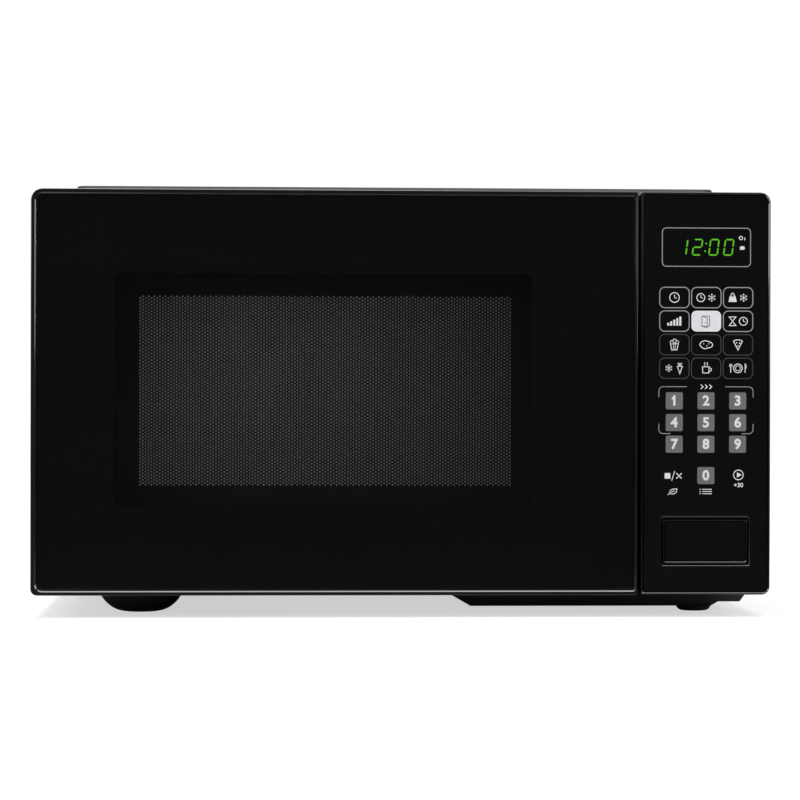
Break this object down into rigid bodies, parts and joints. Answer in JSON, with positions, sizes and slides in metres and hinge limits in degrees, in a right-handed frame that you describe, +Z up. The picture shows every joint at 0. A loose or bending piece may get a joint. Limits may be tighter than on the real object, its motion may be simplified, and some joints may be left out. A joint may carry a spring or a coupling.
{
  "type": "microwave oven",
  "caption": "Compact countertop microwave oven with a side-hinged door, perforated window screen, keypad column, door-open button, latch, turntable and cooling fan.",
  "frame": {"origin": "on the table, under the middle of the oven's outline", "axes": "+X to the user's right along the front, +Y from the door to the back, +Z up"},
  "size_m": [0.44, 0.34, 0.259],
  "materials": {
    "cabinet_paint": "fine black powder coat",
    "cavity_enamel": "light grey sprayed enamel, semi-gloss",
    "zinc_sheet": "zinc-plated sheet, matt",
    "steel": "bare steel",
    "screen_paint": "matt black paint on perforated sheet",
    "door_plastic": "gloss black moulding",
    "panel_plastic": "gloss black moulding",
    "key_film": "smooth black printed film",
    "door_glass": "black-backed glass with a dark tinted window",
    "clear_film": "smoky clear film",
    "tray_glass": "clear pressed glass",
    "bulb_glass": "clear glass bulb",
    "white_plastic": "white heat-proof moulding",
    "grey_plastic": "grey moulding",
    "black_plastic": "matt black moulding",
    "rubber": "black rubber",
    "winding": "lacquered winding wire",
    "circuit": "green circuit board",
    "mica": "pressed mica sheet"
  },
  "bodies": {
    "cabinet": {"base_plate": "zinc_sheet", "capacitor": "steel", "capacitor_clamp": "zinc_sheet", "cavity": "cavity_enamel", "cavity_lamp": "bulb_glass", "control_board": "circuit", "control_housing": "panel_plastic", "display_module": "key_film", "fan_duct": "grey_plastic", "fan_motor": "steel", "foot_front_left": "rubber", "foot_front_right": "rubber", "foot_rear_left": "rubber", "foot_rear_right": "rubber", "front_plate": "cabinet_paint", "hv_diode": "black_plastic", "inlet_grommet": "rubber", "keypad_membrane": "key_film", "lamp_holder": "white_plastic", "latch_bracket": "grey_plastic", "lower_hinge": "steel", "magnetron": "steel", "monitor_switch": "white_plastic", "noise_filter": "circuit", "outer_cabinet": "cabinet_paint", "primary_switch": "black_plastic", "primary_winding": "winding", "rear_panel": "zinc_sheet", "secondary_switch": "black_plastic", "secondary_winding": "winding", "thermal_cutout": "black_plastic", "transformer_core": "steel", "turntable_motor": "zinc_sheet", "upper_hinge": "steel", "waveguide": "zinc_sheet", "waveguide_cover": "mica"},
    "door": {"door_frame": "door_plastic", "door_glass": "door_glass", "door_plate": "screen_paint", "choke_cover": "door_plastic", "door_film": "clear_film", "latch_spring": "steel"},
    "latch": {"latch_hook": "grey_plastic"},
    "button": {"door_open_button": "panel_plastic"},
    "lever": {"release_lever": "white_plastic", "lever_spring": "steel"},
    "fan": {"fan_blade": "white_plastic", "fan_rotor": "steel"},
    "coupler": {"turntable_coupler": "white_plastic", "turntable_shaft": "steel"},
    "tray": {"glass_tray": "tray_glass"},
    "ring": {"roller_ring": "white_plastic"},
    "roller_1": {"roller_1": "white_plastic"},
    "roller_2": {"roller_2": "white_plastic"},
    "roller_3": {"roller_3": "white_plastic"}
  },
  "joints": [
    {"name": "door_swing", "type": "hinge", "parent": "cabinet", "child": "door", "pos_m": [-0.212, -0.146, 0.13375], "axis": [0, 0, -1], "range_deg": [0, 105]},
    {"name": "button_press", "type": "slide", "parent": "cabinet", "child": "button", "axis": [0, 1, 0], "range_m": [0, 0.006], "stiffness_N_per_m": 400, "springref_m": -0.005},
    {"name": "lever_turn", "type": "hinge", "parent": "cabinet", "child": "lever", "pos_m": [0.1405, -0.128, 0.0776], "axis": [1, 0, 0], "range_deg": [0, 12.3]},
    {"name": "latch_lift", "type": "slide", "parent": "door", "child": "latch", "axis": [0, 0, 1], "range_m": [0, 0.00495], "deforming": ["latch_spring"]},
    {"name": "fan_spin", "type": "hinge", "parent": "cabinet", "child": "fan", "pos_m": [0.16325, 0.1199, 0.18], "axis": [0, -1, 0], "continuous": true},
    {"name": "turntable_spin", "type": "hinge", "parent": "cabinet", "child": "coupler", "pos_m": [-0.045, 0.0075, 0.0285], "axis": [0, 0, 1], "continuous": true},
    {"name": "tray_lift", "type": "slide", "parent": "coupler", "child": "tray", "axis": [0, 0, 1], "range_m": [0, 0.03]},
    {"name": "ring_turn", "type": "hinge", "parent": "cabinet", "child": "ring", "pos_m": [-0.045, 0.0075, 0.0368], "axis": [0, 0, 1], "continuous": true},
    {"name": "roller_1_spin", "type": "hinge", "parent": "ring", "child": "roller_1", "pos_m": [-0.045, 0.0915, 0.0368], "axis": [0, 1, 0], "continuous": true},
    {"name": "roller_2_spin", "type": "hinge", "parent": "ring", "child": "roller_2", "pos_m": [-0.11775, -0.0345, 0.0368], "axis": [-0.866, -0.5, 0], "continuous": true},
    {"name": "roller_3_spin", "type": "hinge", "parent": "ring", "child": "roller_3", "pos_m": [0.02775, -0.0345, 0.0368], "axis": [0.866, -0.5, 0], "continuous": true}
  ],
  "couplings": [
    {"joint": "lever_turn", "follows": "button_press", "rad_per_m": 35.714},
    {"joint": "latch_lift", "follows": "button_press", "ratio": 0.82143},
    {"joint": "ring_turn", "follows": "turntable_spin", "ratio": 0.5},
    {"joint": "roller_1_spin", "follows": "turntable_spin", "ratio": -5.25},
    {"joint": "roller_2_spin", "follows": "turntable_spin", "ratio": -5.25},
    {"joint": "roller_3_spin", "follows": "turntable_spin", "ratio": -5.25}
  ]
}
